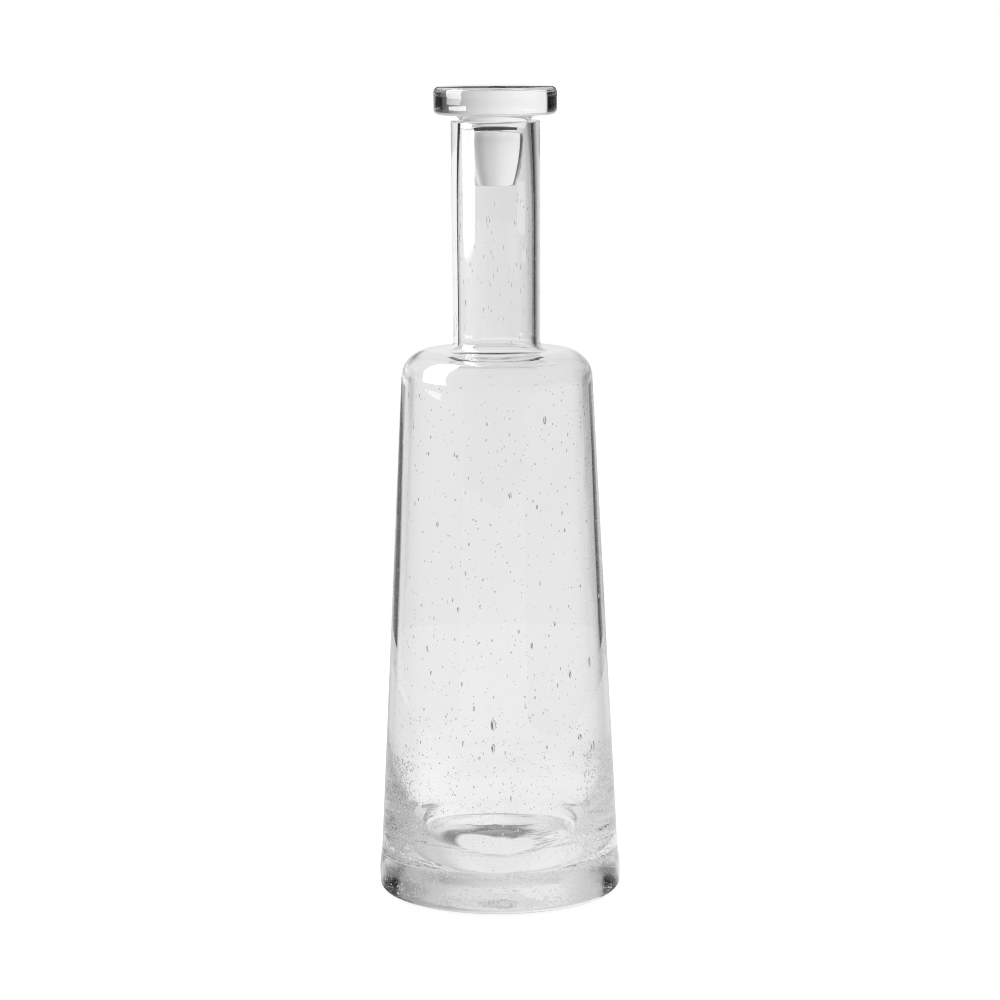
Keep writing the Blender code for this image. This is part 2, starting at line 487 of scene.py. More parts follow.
# The few large ones in front: (degrees to the right of front, height, width, length)
LARGE_SEEDS = [
    (-3, 0.074, 0.0021, 0.0046), (-3, 0.065, 0.0017, 0.0034), (-13, 0.080, 0.0008, 0.0022),
    (29, 0.190, 0.0013, 0.0033), (56, 0.061, 0.0026, 0.0042), (41, 0.091, 0.0012, 0.0028),
    (7, 0.162, 0.0012, 0.0024), (57, 0.094, 0.0012, 0.0042), (46, 0.066, 0.0022, 0.0026),
    (-22, 0.118, 0.0009, 0.0021), (18, 0.104, 0.001, 0.0026), (-36, 0.150, 0.0009, 0.0024),
]
LARGE_DEEP_SHARE = 0.45
for degrees, height, width, length in LARGE_SEEDS:
    deep = body_wall(height) * LARGE_DEEP_SHARE
    where = (in_wall(height, deep), FRONT + math.radians(degrees), height)
    blow(seeds, where, (deep, width, length), LARGE)

# Foam in the heel: all round, and thickest in front at the left and right. Each patch is
# (middle, spread, count, lowest, highest)
FOAM_PATCHES = (
    (0.0, math.pi, 800, 0.012, 0.062),
    (FRONT_LEFT, math.radians(17), 1700, 0.014, 0.056),
    (FRONT_RIGHT, math.radians(19), 1500, 0.011, 0.06),
)
FOAM_CROWDING = 1.3
FOAM_WIDTHS = (0.00025, 0.00075)
FOAM_STRETCH = (0.9, 1.6)
for middle, spread, count, low, high in FOAM_PATCHES:
    for seed in range(count):
        height = low + (high - low) * random.random() ** FOAM_CROWDING
        width = random.uniform(*FOAM_WIDTHS)
        size = (width, width, width * random.uniform(*FOAM_STRETCH))
        where = (in_wall(height, size[0]), middle + random.uniform(-spread, spread), height)
        blow(seeds, where, size)

# A knot of bigger bubbles low in the heel at the left
KNOT_COUNT = 150
KNOT_HEIGHTS = (0.0155, 0.0275)
KNOT_WIDTHS = (0.0005, 0.0015)
KNOT_STRETCH = (0.7, 1.2)
KNOT_DEPTHS = (0.0015, 0.006)
KNOT_ASIDE = 0.1
KNOT_SPREAD = 0.1
KNOT_FINENESS = (6, 9)
for seed in range(KNOT_COUNT):
    height = random.uniform(*KNOT_HEIGHTS)
    width = random.uniform(*KNOT_WIDTHS)
    size = (width, width, width * random.uniform(*KNOT_STRETCH))
    radius = body_radius(height) - random.uniform(*KNOT_DEPTHS)
    turn = FRONT_LEFT + random.gauss(KNOT_ASIDE, KNOT_SPREAD)
    blow(seeds, (radius, turn, height), size, KNOT_FINENESS)

# A frothy line round the front of the foot, higher towards the sides and more ragged to the right
LINE_COUNT = 1500
LINE_REACH = 1.5
LINE_HEIGHT = 0.0142
LINE_RISE = 0.0035
LINE_RAGGED = 0.0012
LINE_RAGS = 4.0
LINE_LOOSE = 0.0006
LINE_LOOSER_RIGHT = 0.0012
LINE_WIDTHS = (0.0002, 0.00055)
LINE_STRETCH = (1.0, 1.8)
LINE_DEPTHS = (0.0008, 0.0026)
for seed in range(LINE_COUNT):
    turn = random.uniform(-LINE_REACH, LINE_REACH)
    ragged = noise.noise(Vector((turn * LINE_RAGS, 0.0, 0.0))) * LINE_RAGGED
    loose = LINE_LOOSE + LINE_LOOSER_RIGHT * max(0.0, turn)
    height = LINE_HEIGHT + LINE_RISE * math.sin(turn) ** 2 + ragged + random.gauss(0, loose)
    width = random.uniform(*LINE_WIDTHS)
    radius = body_radius(height) - random.uniform(*LINE_DEPTHS)
    size = (width, width * random.uniform(*LINE_STRETCH), width)
    blow(seeds, (radius, FRONT + turn, height), size)

# Froth in the floor, in two layers of (lowest, highest, count, widest)
FLOOR_LAYERS = ((0.0022, 0.0045, 900, 0.0004), (0.0045, 0.009, 700, 0.0005))
FLOOR_SPARE = 0.0032
FLOOR_REACH = FOOT_RADIUS - FLOOR_SPARE
FLOOR_NARROWEST = 0.0002
FLOOR_STRETCH = (1.0, 1.5)
FLOOR_FLATTENING = (0.7, 1.0)
for low, high, count, widest in FLOOR_LAYERS:
    for seed in range(count):
        radius = FLOOR_REACH * math.sqrt(random.random())
        width = random.uniform(FLOOR_NARROWEST, widest)
        across = width * random.uniform(*FLOOR_STRETCH)
        size = (width, across, width * random.uniform(*FLOOR_FLATTENING))
        blow(seeds, (radius, all_round(), random.uniform(low, high)), size)

# Froth in the edge of the foot, thickest in front
EDGE_COUNT = 650
EDGE_DEPTHS = (0.0035, 0.009)
EDGE_WIDTHS = (0.0003, 0.0006)
EDGE_ASIDE = -0.15
EDGE_SPREAD = 0.5
EDGE_HEIGHTS = (0.0022, 0.0052)
EDGE_STRETCH = (1, 1.6)
for seed in range(EDGE_COUNT):
    radius = FOOT_RADIUS - random.uniform(*EDGE_DEPTHS)
    width = random.uniform(*EDGE_WIDTHS)
    turn = FRONT + random.gauss(EDGE_ASIDE, EDGE_SPREAD)
    where = (radius, turn, random.uniform(*EDGE_HEIGHTS))
    blow(seeds, where, (width, width * random.uniform(*EDGE_STRETCH), width))

# Hair-thin seeds in the neck, drawn long
HAIR_COUNT = 170
HAIRS_FROM = THROAT_LENGTH * 0.6
HAIR_WIDTHS = (0.00014, 0.00034)
HAIR_STRETCH = (2, 12)
HAIR_OFF_MIDDLE = 0.0005
HAIR_FINENESS = (6, 7)
for seed in range(HAIR_COUNT):
    depth = HAIRS_FROM + (NECK_LENGTH - NECK_ROOT_ROUND - HAIRS_FROM) * random.random()
    width = random.uniform(*HAIR_WIDTHS)
    middle = (NECK_TOP_RADIUS + bore_radius(depth)) / 2
    radius = middle + random.uniform(-HAIR_OFF_MIDDLE, HAIR_OFF_MIDDLE)
    size = (width, width, width * random.uniform(*HAIR_STRETCH))
    blow(seeds, (radius, all_round(), MOUTH_HEIGHT - depth), size, HAIR_FINENESS)

seed_mesh = bpy.data.meshes.new("bottle_seeds")
seed_mesh.from_pydata(seeds["corners"], [], seeds["faces"])
seed_mesh.shade_smooth()
seed_mesh.materials.append(bottle_glass)
seed_piece = bpy.data.objects.new("bottle_seeds", seed_mesh)
bpy.context.scene.collection.objects.link(seed_piece)
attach(seed_piece, "bottle")

# Stopper
# One solid piece of clear glass: a flat round head with soft edges, a short flare that rests on the
# inner edge of the mouth, and a tapered plug with a flat end that hangs loose in the neck.
SEAT_GAP = 0.0003
HEAD_RADIUS = 0.0238
HEAD_THICKNESS = 0.0108
HEAD_TOP_ROUND = 0.002
HEAD_UNDER_ROUND = 0.00225
HEAD_GAP = 0.0023
FLARE_ANGLE = math.radians(45)
FLARE_ROUND = 0.008
FLARE_ROOT_ROUND = 0.0005
PLUG_CLEARANCE = 0.0025
PLUG_LENGTH = 0.0247
PLUG_DRAW = 0.0029
PLUG_END_ROUND = 0.0007
PLUG_RADIUS = MOUTH_RADIUS - PLUG_CLEARANCE
PLUG_STEPS = 16
STOPPER_WAVE = 0.00002
STOPPER_WAVES = (90, 90)
HEAD_DOME = 0.0002


def stopper_outline():
    """Half section of the stopper, from the middle of the head down to the end of the plug."""
    under = HEAD_GAP
    top = HEAD_GAP + HEAD_THICKNESS
    lip_centre = Vector((MOUTH_RADIUS + LIP_ROUND, -LIP_ROUND))
    off_lip = (LIP_ROUND + SEAT_GAP) / math.cos(FLARE_ANGLE)
    slope = math.tan(FLARE_ANGLE)
    cone_under = lip_centre.x - off_lip + (under - lip_centre.y) * slope
    cone_foot = lip_centre.y + (PLUG_RADIUS - lip_centre.x + off_lip) / slope
    plug_top = cone_foot - FLARE_ROUND * math.tan(FLARE_ANGLE / 2)
    corners = [
        (0.0, top, 0.0),
        (HEAD_RADIUS, top, HEAD_TOP_ROUND),
        (HEAD_RADIUS, under, HEAD_UNDER_ROUND),
        (cone_under, under, FLARE_ROOT_ROUND),
        (PLUG_RADIUS, cone_foot, FLARE_ROUND),
    ]
    for step in range(1, PLUG_STEPS):
        share = step / PLUG_STEPS
        height = plug_top - (plug_top + PLUG_LENGTH) * share
        corners.append((PLUG_RADIUS - PLUG_DRAW * share**2, height, 0.0))
    corners.append((PLUG_RADIUS - PLUG_DRAW, -PLUG_LENGTH, PLUG_END_ROUND))
    corners.append((0.0, -PLUG_LENGTH, 0.0))
    lifted = [point + Vector((0.0, MOUTH_HEIGHT)) for point in rounded(corners)]
    return filled_in(lifted)


def stopper_waves(place, here):
    """The stopper is pressed and polished, so it is nearly true, with a very low dome on its head."""
    if place.z > MOUTH_HEIGHT + HEAD_GAP + HEAD_THICKNESS - HEAD_TOP_ROUND:
        return -HEAD_DOME * (here.x / HEAD_RADIUS) ** 2
    return -STOPPER_WAVE * abs(wave(place, *STOPPER_WAVES))


stopper_mesh = turned("stopper_solid", stopper_outline(), stopper_waves)
stopper_piece = bpy.data.objects.new("stopper_solid", stopper_mesh)
bpy.context.scene.collection.objects.link(stopper_piece)
HANDLING = 0.01
STOPPER_STREAK_DEPTH = 0.000005
stopper_glass = clear_glass(
    "stopper_clear_glass", STOPPER_STREAK_DEPTH, HANDLING, MOUTH_HEIGHT, PLUG_RADIUS
)
stopper_mesh.materials.append(stopper_glass)
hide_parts("stopper")
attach(stopper_piece, "stopper")

# Table
# A plain white painted table top, which keeps a faint soft shadow of the carafe and fades into the
# white wall behind it. The glass sees it glow in set greys, which are painted light and shade: duller
# to the right, and a painted shadow in a ring where the hollow under the foot would shade it.
TABLE_RADIUS = 0.5
TABLE_DROP = 0.0003
TABLE_GLOW = 0.88
TABLE_PAINT = 0.2
HALF_TURN = 180
WHOLE_TURN = 360

# The painted shadow ring under the hollow foot: its inner radius is a ramp times RING_REACH
TABLE_STREAK_SCALE = 900.0
TABLE_STREAK_STRETCH = 0.15
STREAKS_BETWEEN = (0.42, 0.58)
STREAK_DARKENING = 0.4
RING_REACH = 0.1
RING_EDGE = 0.003
INSIDE_RING = 0.87

# Between which radii the levels on the table change over
RING_TO_NEAR = (0.029, 0.034)
STRAIGHT_NEAR_TO_FAR = (0.09, 0.17)
BOUNCED_NEAR_TO_FAR = (0.045, 0.09)
MIRRORED_NEAR_TO_FAR = (0.07, 0.12)

# Which sockets of a Mix node are its colours
FIRST_COLOUR = 6
SECOND_COLOUR = 7
MIXED_COLOUR = 2

# More than so many times, light has passed through a surface of the glass or been mirrored by one
ENTERED = 0.5
MIRRORED = 0.5
MIRRORED_OFTEN = 2.5
THROUGH_MANY = 5.5


class Light:
    """Works out a brightness with nodes, from sums, ramps and blends."""

    def __init__(self, tree):
        self.nodes = tree.nodes
        self.links = tree.links

    def node(self, kind):
        """One new node."""
        return self.nodes.new("ShaderNode" + kind)

    def feed(self, value, socket):
        """Gives a socket a number, or links it to another node."""
        if isinstance(value, (int, float)):
            socket.default_value = (value, value, value, 1.0) if socket.type == "RGBA" else value
        else:
            self.links.new(value, socket)

    def sum_of(self, kind, *values):
        """One Math node, fed by numbers or by other nodes."""
        node = self.node("Math")
        node.operation = kind
        for socket, value in zip(node.inputs, values):
            self.feed(value, socket)
        return node.outputs[0]

    def round_about(self, angle, *stops):
        """Brightness by an angle in degrees, from pairs of (degrees, brightness)."""
        ramp = self.node("ValToRGB")
        elements = ramp.color_ramp.elements
        for index, (degrees, bright) in enumerate(stops):
            place = degrees / WHOLE_TURN + 0.5
            element = elements[index] if index < 2 else elements.new(place)
            element.position = place
            element.color = (bright, bright, bright, 1.0)
        share = self.sum_of("ADD", self.sum_of("DIVIDE", angle, WHOLE_TURN), 0.5)
        self.feed(share, ramp.inputs["Fac"])
        return ramp.outputs["Color"]

    def between(self, share, first, second):
        """One brightness blended into another by a share."""
        node = self.node("Mix")
        node.data_type = "RGBA"
        self.feed(share, node.inputs["Factor"])
        self.feed(first, node.inputs[FIRST_COLOUR])
        self.feed(second, node.inputs[SECOND_COLOUR])
        return node.outputs[MIXED_COLOUR]

    def share_of(self, value, start, end):
        """How far a value has gone from start to end, from 0 to 1."""
        node = self.node("MapRange")
        self.feed(start, node.inputs["From Min"])
        self.feed(end, node.inputs["From Max"])
        self.feed(value, node.inputs["Value"])
        return node.outputs["Result"]

    def turn_of(self, place):
        """Angle in degrees about the upright axis: 0 behind the carafe, 90 to its right."""
        parts = self.node("SeparateXYZ")
        self.feed(place, parts.inputs["Vector"])
        turn = self.sum_of("ARCTAN2", parts.outputs["X"], parts.outputs["Y"])
        return self.sum_of("MULTIPLY", turn, HALF_TURN / math.pi)


rim = []
for step in range(TURN_STEPS):
    turn = math.tau * step / TURN_STEPS
    rim.append((TABLE_RADIUS * math.cos(turn), TABLE_RADIUS * math.sin(turn), -TABLE_DROP))
table_mesh = bpy.data.meshes.new("table")
table_mesh.from_pydata(rim, [], [tuple(range(TURN_STEPS))])
table = bpy.data.objects.new("table", table_mesh)
bpy.context.scene.collection.objects.link(table)
table_paint = bpy.data.materials.new("table_paint")
table_paint.use_nodes = True
table_paint.node_tree.nodes.clear()
top = Light(table_paint.node_tree)
place = top.node("TexCoord").outputs["Object"]
table_turn = top.turn_of(place)
length = top.node("VectorMath")
length.operation = "LENGTH"
top.feed(place, length.inputs[0])
reach = length.outputs["Value"]

# What the glass shows of the table straight through, near the foot and far off
straight_far = top.round_about(
    table_turn,
    (-180, 0.85), (-60, 0.95), (-30, 0.94), (-18, 0.9), (0, 0.87), (12, 0.85), (18, 0.79),
    (24, 0.68), (30, 0.57), (42, 0.5), (60, 0.55), (90, 0.75), (140, 0.85), (180, 0.85),
)
straight_near = top.round_about(
    table_turn,
    (-180, 0.86), (-125, 0.84), (-110, 0.35), (-96, 0.4), (-84, 0.6), (-68, 0.94), (-42, 0.97),
    (-18, 0.93), (6, 0.9), (30, 0.88), (60, 0.89), (90, 0.95), (120, 0.87), (180, 0.86),
)
# Painted shadow: the table is set darker, by turn, in a ring under the foot's hollow, as the glass sees
# it
painted_shade_under_foot = top.round_about(
    table_turn,
    (-180, 0.86), (-120, 0.82), (-108, 0.4), (-96, 0.15), (-62, 0.14), (-48, 0.28), (-36, 0.12),
    (-12, 0.2), (12, 0.2), (38, 0.12), (44, 0.4), (52, 0.85), (90, 0.97), (120, 0.86), (180, 0.86),
)
hollow_from = top.round_about(
    table_turn,
    (-180, 0.2), (-60, 0.2), (-40, 0.16), (-24, 0.11), (-12, 0.08), (38, 0.08), (60, 0.14),
    (180, 0.2),
)
bounced_near = top.round_about(
    table_turn,
    (-180, 0.82), (-150, 0.84), (-138, 0.76), (-126, 0.62), (-114, 0.62), (-102, 0.48), (-90, 0.35),
    (-78, 0.5), (-62, 0.6), (-42, 0.75), (-18, 0.78), (6, 0.76), (60, 0.78), (78, 0.82), (90, 0.75),
    (110, 0.84), (130, 0.87), (180, 0.82),
)
bounced_far = top.round_about(
    table_turn,
    (-180, 0.85), (-66, 0.9), (-54, 0.86), (-42, 0.74), (-18, 0.74), (6, 0.74), (18, 0.72),
    (30, 0.64), (42, 0.53), (54, 0.6), (66, 0.75), (90, 0.88), (180, 0.85),
)

# The painted shadow: a dark ring under the hollow of the foot, with fine darker streaks, and the pale
# middle inside it
streaks = top.node("TexNoise")
streaks.inputs["Scale"].default_value = TABLE_STREAK_SCALE
stretched = top.node("Mapping")
stretched.inputs["Scale"].default_value = (TABLE_STREAK_STRETCH, 1.0, 1.0)
top.feed(place, stretched.inputs["Vector"])
top.feed(stretched.outputs["Vector"], streaks.inputs["Vector"])
streaky = top.share_of(streaks.outputs["Fac"], *STREAKS_BETWEEN)
darkened = top.sum_of("MULTIPLY", painted_shade_under_foot, STREAK_DARKENING)
painted_shadow_ring = top.between(streaky, darkened, painted_shade_under_foot)
ring_from = top.sum_of("MULTIPLY", hollow_from, RING_REACH)
ring_to = top.sum_of("ADD", ring_from, RING_EDGE)
under = top.between(top.share_of(reach, ring_from, ring_to), INSIDE_RING, painted_shadow_ring)
straight = top.between(top.share_of(reach, *RING_TO_NEAR), under, straight_near)
straight = top.between(top.share_of(reach, *STRAIGHT_NEAR_TO_FAR), straight, straight_far)
bounced = top.between(top.share_of(reach, *BOUNCED_NEAR_TO_FAR), bounced_near, bounced_far)

# What the froth shows of the table, what light long trapped in the glass shows of it, and what the
# outside of the glass mirrors
in_froth = top.round_about(
    table_turn,
    (-180, 0.6), (-120, 0.03), (-10, 0.03), (4, 0.8), (90, 0.95), (180, 0.6),
)
deep_in = top.round_about(
    table_turn,
    (-180, 0.65), (-120, 0.6), (-100, 0.4), (-54, 0.3), (-42, 0.5), (-18, 0.8), (0, 0.78),
    (30, 0.75), (66, 0.85), (110, 0.75), (180, 0.65),
)
mirrored_near = top.round_about(
    table_turn,
    (-180, 0.95), (-138, 0.8), (-128, 0.3), (-116, 0.03), (-98, 0), (-90, 0.2), (-80, 0.6),
    (-60, 0.6), (0, 0.8), (50, 0.95), (68, 0.95), (80, 0.75), (90, 0.32), (100, 0.08), (108, 0.2),
    (118, 0.85), (180, 0.95),
)
mirrored_far = top.round_about(
    table_turn,
    (-180, 0.85), (-150, 0.6), (-126, 1), (-104, 1), (-92, 0.3), (-84, 0.03), (-72, 0.05),
    (-60, 0.14), (-50, 0.45), (-36, 0.68), (0, 0.75), (30, 0.85), (54, 0.98), (66, 1), (150, 1),
    (162, 0.65), (180, 0.85),
)
mirrored = top.between(top.share_of(reach, *MIRRORED_NEAR_TO_FAR), mirrored_near, mirrored_far)

# Each kind of light is given its own level, and the camera sees the plain white top
path = top.node("LightPath").outputs
crossings = path["Transmission Depth"]
bounces = path["Glossy Depth"]
seen = top.between(top.sum_of("GREATER_THAN", crossings, THROUGH_MANY), straight, in_froth)
seen = top.between(top.sum_of("GREATER_THAN", bounces, MIRRORED), seen, bounced)
seen = top.between(top.sum_of("GREATER_THAN", bounces, MIRRORED_OFTEN), seen, deep_in)
seen = top.between(top.sum_of("GREATER_THAN", crossings, ENTERED), mirrored, seen)
by_glass = top.sum_of("MAXIMUM", path["Is Glossy Ray"], path["Is Transmission Ray"])
by_camera = top.sum_of("MULTIPLY", path["Is Camera Ray"], TABLE_GLOW)
glow = top.node("Emission")
top.feed(top.sum_of("MULTIPLY_ADD", by_glass, seen, by_camera), glow.inputs["Strength"])
matt = top.node("BsdfDiffuse")
top.feed(top.sum_of("MULTIPLY", path["Is Camera Ray"], TABLE_PAINT), matt.inputs["Color"])
both = top.node("AddShader")
top.feed(matt.outputs[0], both.inputs[0])
top.feed(glow.outputs[0], both.inputs[1])
top.feed(both.outputs[0], top.node("OutputMaterial").inputs["Surface"])
table_mesh.materials.append(table_paint)
table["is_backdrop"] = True

# Softbox and cards
# One big soft lamp leans in from the left, with a strip and a small card of light under it, which
# show as the white patches on the shoulder, neck and stopper. Grey flags shade the body from both
# sides, white cards stand at the right, and black card hangs behind the head and over the carafe.
LAMP_TURN = math.radians(-100)
LAMP_FOOT = (1.5, 0.13)
LAMP_LEAN = -0.773
LAMP_GLOW = 11.0
HEAD_CARD_GLOW = 7.0
CARD_TURN = math.radians(111)
CARD_FOOT = (1.0, 0.0)
CARD_GLOW = 1.8
FLAG_FOOT = (0.3, 0.0)
FLAG_GLOW = 0.3
GAP_FOOT = (0.29, 0.0)
GAP_GLOW = 3.2
UPRIGHT = 0.0

# Corners of the panels, as (aside, height)
LAMP_CORNERS = ((-0.43, 0.27), (0.04, 1.25), (0.42, 1.53), (0.69, 1.2), (0.43, 0.27))
STRIP_CORNERS = ((-0.66, 0.104), (-0.66, 0.2235), (0.4, 0.2235), (0.36, 0.104))
HEAD_CARD_CORNERS = ((0.55, 0.2475), (-0.25, 0.2475), (-0.8, 0.268), (0.55, 0.268))
CARD_CORNERS = ((-0.22, 0.172), (-0.22, 0.21), (0.22, 0.21), (0.22, 0.176))
LOW_CARD_CORNERS = ((-0.25, 0.152), (-0.25, 0.163), (-0.05, 0.163), (-0.05, 0.156))
FLAG_CORNERS = ((-0.26, 0.03), (-0.26, 0.213), (0.26, 0.213), (0.26, 0.03))
GAP_CORNERS = ((-0.07, 0.1851), (-0.07, 0.1882), (0.055, 0.1882), (0.055, 0.1851))

# Share of its glow that a panel has, as (height, share)
EVEN = ((0.0, 1.0), (1.0, 1.0))
FADED_BELOW = ((0.104, 0.0), (0.116, 0.6), (0.13, 1.0), (1.0, 1.0))

# The black card curved round behind the head, and the black lid over the carafe
BLACK_CARD_RADIUS = 0.08
BLACK_CARD_LOW = 0.3181
BLACK_CARD_HIGH = 0.335
BLACK_CARD_FROM = math.radians(-70)
BLACK_CARD_TO = math.radians(100)
BLACK_CARD_STEPS = 24
LID_HEIGHT = 0.5
LID_RADII = (0.012, 0.16)


def panel(name, sides, faces, glow, profile):
    """A lit or black panel that only reflections see, its glow set by pairs of (height, share)."""
    mesh = bpy.data.meshes.new(name)
    mesh.from_pydata(sides, [], faces)
    piece = bpy.data.objects.new(name, mesh)
    bpy.context.scene.collection.objects.link(piece)
    cloth = bpy.data.materials.new(name + "_cloth")
    cloth.use_nodes = True
    nodes = cloth.node_tree.nodes
    links = cloth.node_tree.links
    nodes.clear()
    place = nodes.new("ShaderNodeTexCoord")
    parts = nodes.new("ShaderNodeSeparateXYZ")
    fade = nodes.new("ShaderNodeValToRGB")
    elements = fade.color_ramp.elements
    for index, (height, share) in enumerate(profile):
        element = elements[index] if index < 2 else elements.new(height)
        element.position = height
        element.color = (share, share, share, 1.0)
    light = nodes.new("ShaderNodeEmission")
    light.inputs["Strength"].default_value = glow
    out = nodes.new("ShaderNodeOutputMaterial")
    links.new(place.outputs["Object"], parts.inputs["Vector"])
    links.new(parts.outputs["Z"], fade.inputs["Fac"])
    links.new(fade.outputs["Color"], light.inputs["Color"])
    links.new(light.outputs["Emission"], out.inputs["Surface"])
    cloth.cycles.emission_sampling = "NONE"
    mesh.materials.append(cloth)
    piece.visible_camera = False
    piece.visible_diffuse = False
    piece.visible_transmission = False
    piece.visible_shadow = False
    piece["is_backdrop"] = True
    return piece


def flat_sides(turn, foot, lean, corners):
    """Corners of a flat panel facing the carafe, from (aside, height), its foot and its lean inwards."""
    out = Vector((math.sin(turn), math.cos(turn), 0.0))
    along = Vector((out.y, -out.x, 0.0))
    sides = []
    for aside, height in corners:
        side = out * (foot[0] + lean * (height - foot[1])) + along * aside
        sides.append((side.x, side.y, height))
    return sides


# A panel's turn is from straight behind towards the right, and its foot is (distance out, height)
for name, turn, foot, lean, corners, glow, profile in (
    ("softbox", LAMP_TURN, LAMP_FOOT, LAMP_LEAN, LAMP_CORNERS, LAMP_GLOW, EVEN),
    ("strip", LAMP_TURN, LAMP_FOOT, LAMP_LEAN, STRIP_CORNERS, LAMP_GLOW, FADED_BELOW),
    ("head_card", LAMP_TURN, LAMP_FOOT, LAMP_LEAN, HEAD_CARD_CORNERS, HEAD_CARD_GLOW, EVEN),
    ("left_flag", LAMP_TURN, FLAG_FOOT, UPRIGHT, FLAG_CORNERS, FLAG_GLOW, EVEN),
    ("left_gap", LAMP_TURN, GAP_FOOT, UPRIGHT, GAP_CORNERS, GAP_GLOW, EVEN),
    ("right_flag", CARD_TURN, FLAG_FOOT, UPRIGHT, FLAG_CORNERS, FLAG_GLOW, EVEN),
    ("white_card", CARD_TURN, CARD_FOOT, UPRIGHT, CARD_CORNERS, CARD_GLOW, EVEN),
    ("low_card", CARD_TURN, CARD_FOOT, UPRIGHT, LOW_CARD_CORNERS, CARD_GLOW, EVEN),
):
    panel(name, flat_sides(turn, foot, lean, corners), [tuple(range(len(corners)))], glow, profile)


def curved(name, *edges):
    """A black panel between two arcs round behind the carafe, each edge a pair of (radius, height)."""
    sides = []
    faces = []
    for step in range(BLACK_CARD_STEPS + 1):
        turn = BLACK_CARD_FROM + (BLACK_CARD_TO - BLACK_CARD_FROM) * step / BLACK_CARD_STEPS
        for radius, height in edges:
            sides.append((radius * math.sin(turn), radius * math.cos(turn), height))
        if step < BLACK_CARD_STEPS:
            faces.append((step * 2, step * 2 + 1, step * 2 + 3, step * 2 + 2))
    return panel(name, sides, faces, 0.0, EVEN)


curved("black_card", (BLACK_CARD_RADIUS, BLACK_CARD_LOW), (BLACK_CARD_RADIUS, BLACK_CARD_HIGH))
lid = curved("black_lid", *((radius, LID_HEIGHT) for radius in LID_RADII))

# Unlike the others, the lid also shows straight through the glass
lid.visible_transmission = True

# Studio walls
# White walls all round, which is how the camera sees them. The glass sees them in greys, brightest
# behind and duller to the right, with black cards at the left and right that draw its dark edge
# lines. Each kind of light that reaches the glass is given its own levels, by turn and by tilt.
OVERHEAD_LEVEL = 0.3
LOW_TILTS = (16, 13)
LOWEST_PLUG_TILT = -2.4

# The upper neck is dim where it looks back past the camera: between these turns and tilts
NECK_BACK = (100, 125)
NECK_BACK_TILTS = (-4, -3)
NECK_BACK_LEVEL = 0.15

# How far the black cards' edges lean out, and below which tilt, as the body shows them
BODY_CARD = (3.0, 7.0)
INSIDE_BODY_CARD = (1.2, 9.4)

# Light that has gone through one solid has crossed two surfaces
ONE_SOLID = (2.0, 0.5)

world = bpy.data.worlds.new("studio")
bpy.context.scene.world = world
world.use_nodes = True
world.node_tree.nodes.clear()
wall = Light(world.node_tree)
sum_of = wall.sum_of
brightness_round = wall.round_about
between = wall.between
share_of = wall.share_of
towards = wall.node("TexCoord").outputs["Generated"]
turn = wall.turn_of(towards)
parts = wall.node("SeparateXYZ")
wall.feed(towards, parts.inputs["Vector"])
tilt = sum_of("MULTIPLY", sum_of("ARCSINE", parts.outputs["Z"]), HALF_TURN / math.pi)
side = sum_of("SIGN", turn)
path = wall.node("LightPath").outputs
crossings = path["Transmission Depth"]
bounces = path["Glossy Depth"]


def leaning(lean, level):
    """The turn measured to a card's slanting edge, which leans out below the level."""
    below = sum_of("SUBTRACT", -level, tilt)
    outwards = sum_of("MULTIPLY", sum_of("MULTIPLY", below, lean), side)
    return sum_of("SUBTRACT", turn, outwards)


def by_tilt(level, *levels):
    """A level that gives way to others past a tilt, each (where it starts, where it is full, level)."""
    for start, end, other in levels:
        level = between(share_of(tilt, start, end), level, other)
    return level


# What the outside of the glass mirrors: past the head, the neck, the body and the heel, and above
mirrored_head = brightness_round(
    turn,
    (-180, 0.15), (-72, 0.2), (-62, 0), (-24, 0), (-14, 0.6), (-8, 0.92), (8, 0.9), (14, 0.4),
    (19, 0), (60, 0), (72, 0.15), (180, 0.15),
)
mirrored_neck = brightness_round(
    turn,
    (-180, 0.75), (-125, 0.5), (-105, 0.85), (-85, 0.85), (-74, 0.6), (-68, 0.2), (-66, 0),
    (-58, 0), (-56, 0.9), (-26, 0.95), (-8, 0.95), (5, 0.9), (18, 0.64), (30, 0.47), (40, 0.2),
    (47, 0.05), (52, 0), (112, 0), (128, 0.8), (180, 0.75),
)
mirrored_body = brightness_round(
    leaning(*BODY_CARD),
    (-180, 0.85), (-100, 0.9), (-66, 0.8), (-54, 0.7), (-50, 0.66), (-45, 0.7), (-41, 0.62),
    (-38, 0.5), (-35, 0.3), (-33.5, 0), (-22, 0), (-17, 0.28), (-14, 0.42), (-11, 0.6), (8, 0.85),
    (14, 0.76), (21, 0.62), (26, 0.45), (30, 0.28), (33, 0.04), (34, 0), (38, 0), (40.5, 0.25),
    (48, 0.46), (54, 0.5), (66, 0.65), (80, 0.8), (100, 0.9), (180, 0.85),
)
mirrored_heel = brightness_round(
    turn,
    (-180, 0.85), (-70, 0.85), (-54, 0.6), (-42, 0.4), (-10, 0.8), (10, 0.8), (35, 0.3), (60, 0.6),
    (90, 0.85), (180, 0.85),
)
mirrored_above = brightness_round(
    turn,
    (-180, 0.4), (-60, 0.85), (-30, 0.95), (0, 0.88), (15, 0.75), (30, 0.62), (60, 0.5), (180, 0.4),
)
mirrored = by_tilt(
    mirrored_head,
    (-3.2, -3.35, mirrored_neck),
    (-6.0, -6.6, mirrored_body),
    (-9.8, -10.9, mirrored_heel),
    (2.4, 3.4, mirrored_above),
)

